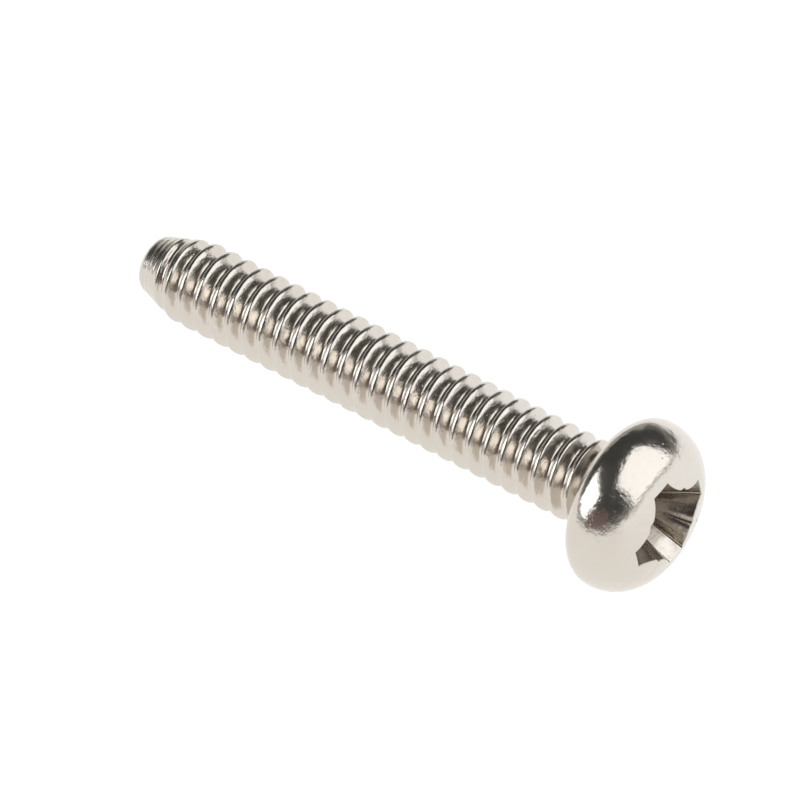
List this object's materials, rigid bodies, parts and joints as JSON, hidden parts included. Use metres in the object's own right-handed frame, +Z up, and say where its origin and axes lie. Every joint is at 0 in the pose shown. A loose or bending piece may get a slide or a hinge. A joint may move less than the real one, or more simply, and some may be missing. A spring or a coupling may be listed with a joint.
{
  "type": "machine screw",
  "caption": "Small metric machine screw with a domed raised cheese head, a tapered four-wing cross recess and a thread along its whole shank.",
  "frame": {"origin": "middle of the lying screw's footprint, on the surface it rests on", "axes": "+X along the screw from its tip towards its head, raised 4.66 degrees at the head as the screw lies; +Z up"},
  "size_m": [0.0114, 0.003, 0.0031],
  "materials": {
    "screw_steel": "bright rolled stainless steel, polished by barrel finishing"
  },
  "bodies": {
    "root": {"machine_screw": "screw_steel"}
  },
  "joints": []
}
